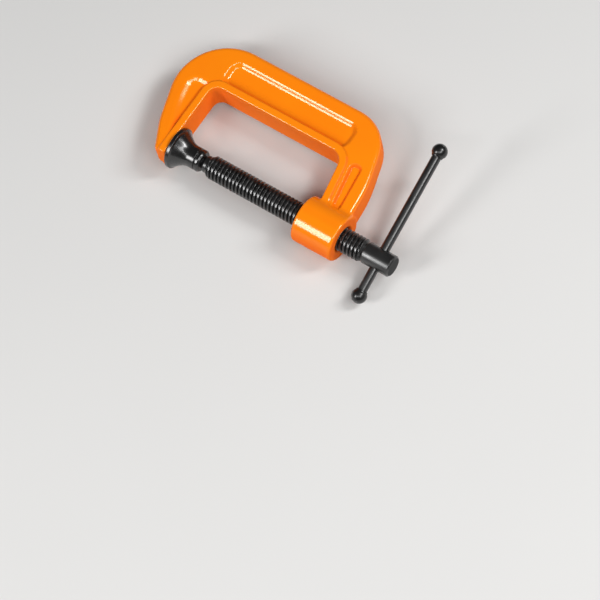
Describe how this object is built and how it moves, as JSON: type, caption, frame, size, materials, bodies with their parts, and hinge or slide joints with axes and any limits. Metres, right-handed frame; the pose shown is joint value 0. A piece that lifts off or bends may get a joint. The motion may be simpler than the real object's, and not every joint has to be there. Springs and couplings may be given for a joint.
{
  "type": "c clamp",
  "caption": "Small C clamp with a painted cast frame, a black threaded screw, a swivel pad on a ball and a sliding bar handle with ball ends.",
  "frame": {"origin": "middle of the clamp's footprint, on the surface that it lies on, under the lowest line of the boss", "axes": "+X along the screw from the anvil to the handle, +Y from the screw to the back of the spine, +Z square to the frame's side"},
  "size_m": [0.1234, 0.0685, 0.0285],
  "materials": {
    "orange_paint": "gloss orange powder coat on cast iron",
    "screw_steel": "black oxide, satin",
    "pad_steel": "black oxide, satin",
    "bar_steel": "black oxide, satin",
    "ball_steel": "black oxide, satin"
  },
  "bodies": {
    "frame": {"frame": "orange_paint"},
    "pad": {"swivel_pad": "pad_steel"},
    "screw": {"screw": "screw_steel"},
    "handle": {"handle_bar": "bar_steel", "handle_ball_upper": "ball_steel", "handle_ball_lower": "ball_steel"}
  },
  "joints": [
    {"name": "screw_travel", "type": "slide", "parent": "frame", "child": "pad", "axis": [1, 0, 0], "range_m": [0, 0.04901]},
    {"name": "screw_turn", "type": "hinge", "parent": "pad", "child": "screw", "pos_m": [0.05512, -0.01549, 0.01], "axis": [1, 0, 0], "range_deg": [0, 10080]},
    {"name": "bar_slide", "type": "slide", "parent": "screw", "child": "handle", "axis": [0, 0.95, 0.3123], "range_m": [-0.0415, 0.009]}
  ],
  "couplings": [
    {"joint": "screw_travel", "follows": "screw_turn", "m_per_rad": 0.00027852}
  ]
}
